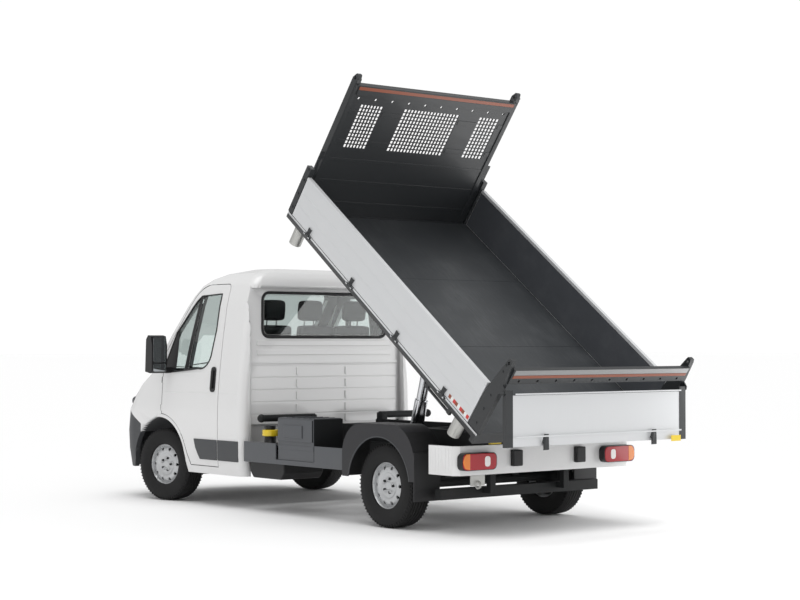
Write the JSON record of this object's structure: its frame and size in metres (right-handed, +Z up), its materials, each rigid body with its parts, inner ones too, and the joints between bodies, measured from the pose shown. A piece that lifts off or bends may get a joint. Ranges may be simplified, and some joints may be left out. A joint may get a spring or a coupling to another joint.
{
  "type": "rear tipper truck",
  "caption": "White single-cab tipper truck with its dark steel bed raised, pale drop sides and a hanging tailgate.",
  "frame": {"origin": "on the ground under the middle of the whole truck", "axes": "+Z up; +Y towards the rear, so that the cab faces -Y; +X towards the truck's left side"},
  "size_m": [2.49, 5.9666, 3.8189],
  "materials": {
    "white_paint": "gloss",
    "dark_paint": "satin",
    "bed_steel": "satin",
    "side_alloy": "satin",
    "black_plastic": "matte",
    "grey_plastic": "matte",
    "glass": "clear",
    "lamp_clear": "gloss",
    "lamp_red": "gloss",
    "seat_cloth": "woven",
    "engine_block": "matte",
    "steel": "satin",
    "wheel_silver": "satin",
    "tyre": "matte",
    "rubber": "matte",
    "red_paint": "gloss",
    "ram_steel": "polished"
  },
  "bodies": {
    "truck": {"cab_shell": "white_paint", "chassis_frame": "dark_paint", "cross_members": "dark_paint", "dashboard": "grey_plastic", "engine": "engine_block", "exhaust": "steel", "front_axle": "dark_paint", "front_bumper": "grey_plastic", "fuel_tank": "black_plastic", "grille": "black_plastic", "headlamps": "lamp_clear", "leaf_springs": "dark_paint", "mudguards": "black_plastic", "oil_filler": "black_plastic", "outriggers": "dark_paint", "pump_box": "black_plastic", "rear_axle": "dark_paint", "rear_beam": "white_paint", "rear_buffers": "rubber", "rear_window": "glass", "safety_prop": "red_paint", "seats": "seat_cloth", "side_skirts": "grey_plastic", "steering_wheel": "black_plastic", "tail_lamps": "lamp_red", "tipper_subframe": "dark_paint", "underrun_bar": "dark_paint", "windscreen": "glass"},
    "knuckle_left": {"knuckle_left": "steel"},
    "knuckle_right": {"knuckle_right": "steel"},
    "wheel_front_left": {"tyre_front_left": "tyre", "rim_front_left": "wheel_silver"},
    "wheel_front_right": {"tyre_front_right": "tyre", "rim_front_right": "wheel_silver"},
    "wheel_rear_left": {"tyre_rear_left": "tyre", "rim_rear_left": "wheel_silver"},
    "wheel_rear_right": {"tyre_rear_right": "tyre", "rim_rear_right": "wheel_silver"},
    "door_left": {"door_left": "white_paint", "door_glass_left": "glass", "mirror_left": "black_plastic"},
    "door_right": {"door_right": "white_paint", "door_glass_right": "glass", "mirror_right": "black_plastic"},
    "bonnet": {"bonnet": "white_paint"},
    "bed": {"bed_floor": "bed_steel", "bed_sockets": "steel", "headboard": "bed_steel", "rear_rack": "bed_steel"},
    "side_left": {"side_left": "side_alloy"},
    "side_right": {"side_right": "side_alloy"},
    "tailgate": {"tailgate": "side_alloy"},
    "ram_barrel": {"ram_barrel": "dark_paint"},
    "ram_stage_1": {"ram_stage_1": "ram_steel"},
    "ram_stage_2": {"ram_stage_2": "ram_steel"},
    "ram_stage_3": {"ram_stage_3": "ram_steel"},
    "ram_stage_4": {"ram_stage_4": "ram_steel"}
  },
  "joints": [
    {"name": "tip", "type": "hinge", "parent": "truck", "child": "bed", "pos_m": [0, 2.2796, 0.844], "axis": [-1, 0, 0], "range_deg": [-37.1, 8]},
    {"name": "tailgate", "type": "hinge", "parent": "bed", "child": "tailgate", "pos_m": [0, 2.87983, 1.14859], "axis": [1, 0, 0], "range_deg": [-37.1, 20]},
    {"name": "side_left", "type": "hinge", "parent": "bed", "child": "side_left", "pos_m": [1.054, 1.31292, 1.77069], "axis": [0, 0.7976, -0.6032], "range_deg": [0, 170]},
    {"name": "door_left", "type": "hinge", "parent": "truck", "child": "door_left", "pos_m": [1.028, -2.0114, 0.7], "axis": [0.0732, 0, -0.9973], "range_deg": [0, 65]},
    {"name": "side_right", "type": "hinge", "parent": "bed", "child": "side_right", "pos_m": [-1.054, 1.31292, 1.77069], "axis": [0, -0.7976, 0.6032], "range_deg": [0, 170]},
    {"name": "door_right", "type": "hinge", "parent": "truck", "child": "door_right", "pos_m": [-1.028, -2.0114, 0.7], "axis": [0.0732, 0, 0.9973], "range_deg": [0, 65]},
    {"name": "bonnet", "type": "hinge", "parent": "truck", "child": "bonnet", "pos_m": [0, -2.5734, 1.216], "axis": [-1, 0, 0], "range_deg": [0, 55]},
    {"name": "steer_left", "type": "hinge", "parent": "truck", "child": "knuckle_left", "pos_m": [0.74, -2.0354, 0.3485], "axis": [0, 0, 1], "range_deg": [-46.5, 23.5]},
    {"name": "steer_right", "type": "hinge", "parent": "truck", "child": "knuckle_right", "pos_m": [-0.74, -2.0354, 0.3485], "axis": [0, 0, 1], "range_deg": [-46.5, 23.5]},
    {"name": "spin_front_left", "type": "hinge", "parent": "knuckle_left", "child": "wheel_front_left", "pos_m": [0.90169, -2.0025, 0.3485], "axis": [0.9799, 0.1994, 0], "continuous": true},
    {"name": "spin_front_right", "type": "hinge", "parent": "knuckle_right", "child": "wheel_front_right", "pos_m": [-0.90169, -2.06829, 0.3485], "axis": [0.9799, 0.1994, 0], "continuous": true},
    {"name": "spin_rear_left", "type": "hinge", "parent": "truck", "child": "wheel_rear_left", "pos_m": [0.895, 1.4146, 0.3485], "axis": [1, 0, 0], "continuous": true},
    {"name": "spin_rear_right", "type": "hinge", "parent": "truck", "child": "wheel_rear_right", "pos_m": [-0.895, 1.4146, 0.3485], "axis": [1, 0, 0], "continuous": true},
    {"name": "ram_lean", "type": "hinge", "parent": "truck", "child": "ram_barrel", "pos_m": [0, 0.5846, 0.6], "axis": [-1, 0, 0], "range_deg": [-19.72, 4.64]},
    {"name": "ram_slide_1", "type": "slide", "parent": "ram_barrel", "child": "ram_stage_1", "axis": [0, 0.2728, 0.9621], "range_m": [-0.2691, 0.0596]},
    {"name": "ram_slide_2", "type": "slide", "parent": "ram_stage_1", "child": "ram_stage_2", "axis": [0, 0.2728, 0.9621], "range_m": [-0.2691, 0.0596]},
    {"name": "ram_slide_3", "type": "slide", "parent": "ram_stage_2", "child": "ram_stage_3", "axis": [0, 0.2728, 0.9621], "range_m": [-0.2691, 0.0596]},
    {"name": "ram_slide_4", "type": "slide", "parent": "ram_stage_3", "child": "ram_stage_4", "axis": [0, 0.2728, 0.9621], "range_m": [-0.2691, 0.0596]}
  ],
  "couplings": [
    {"joint": "steer_right", "follows": "steer_left", "ratio": 1},
    {"joint": "ram_lean", "follows": "tip", "ratio": 0.51805},
    {"joint": "ram_slide_1", "follows": "tip", "m_per_rad": 0.41245},
    {"joint": "ram_slide_2", "follows": "tip", "m_per_rad": 0.41245},
    {"joint": "ram_slide_3", "follows": "tip", "m_per_rad": 0.41245},
    {"joint": "ram_slide_4", "follows": "tip", "m_per_rad": 0.41245}
  ]
}
